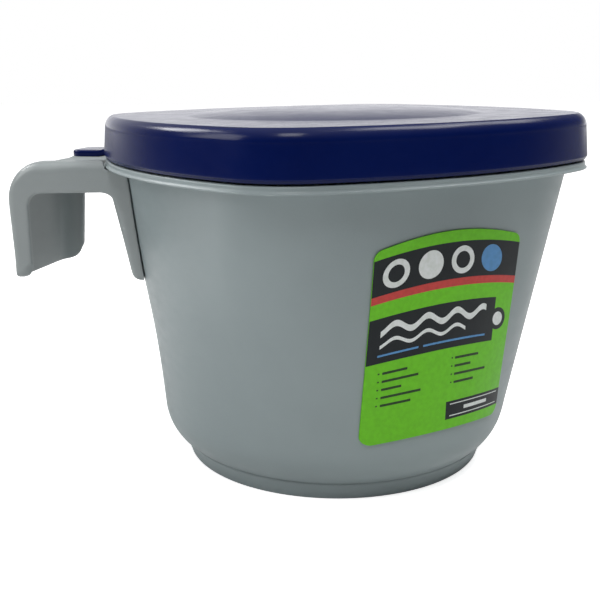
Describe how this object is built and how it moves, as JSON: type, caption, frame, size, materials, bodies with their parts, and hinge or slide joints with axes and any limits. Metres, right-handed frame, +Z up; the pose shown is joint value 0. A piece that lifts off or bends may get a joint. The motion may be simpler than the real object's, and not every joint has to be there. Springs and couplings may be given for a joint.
{
  "type": "lidded paint container",
  "caption": "Plastic tub with a round foot and rounded-square mouth, push-on lid with a thumb tab, hook handle on a corner and a wrap label, for storing mixed paint.",
  "frame": {"origin": "on the surface it stands on, under the middle of the whole container's bounding box with its handle", "axes": "+Z up, -X out through the handle, +Y to the side away from the label, whose panel faces between +X and -Y"},
  "size_m": [0.1834, 0.1544, 0.1109],
  "materials": {
    "tub_plastic": "silver grey, fine moulded satin",
    "lid_plastic": "dark navy blue, soft satin",
    "handle_plastic": "silver grey, fine moulded satin",
    "label_film": "printed film, green with black and red fields, low gloss"
  },
  "bodies": {
    "container": {"tub": "tub_plastic", "handle": "handle_plastic", "label": "label_film"},
    "lid": {"lid": "lid_plastic"}
  },
  "joints": [
    {"name": "lid_lift", "type": "slide", "parent": "container", "child": "lid", "axis": [0, 0, 1], "range_m": [0, 0.06]}
  ]
}
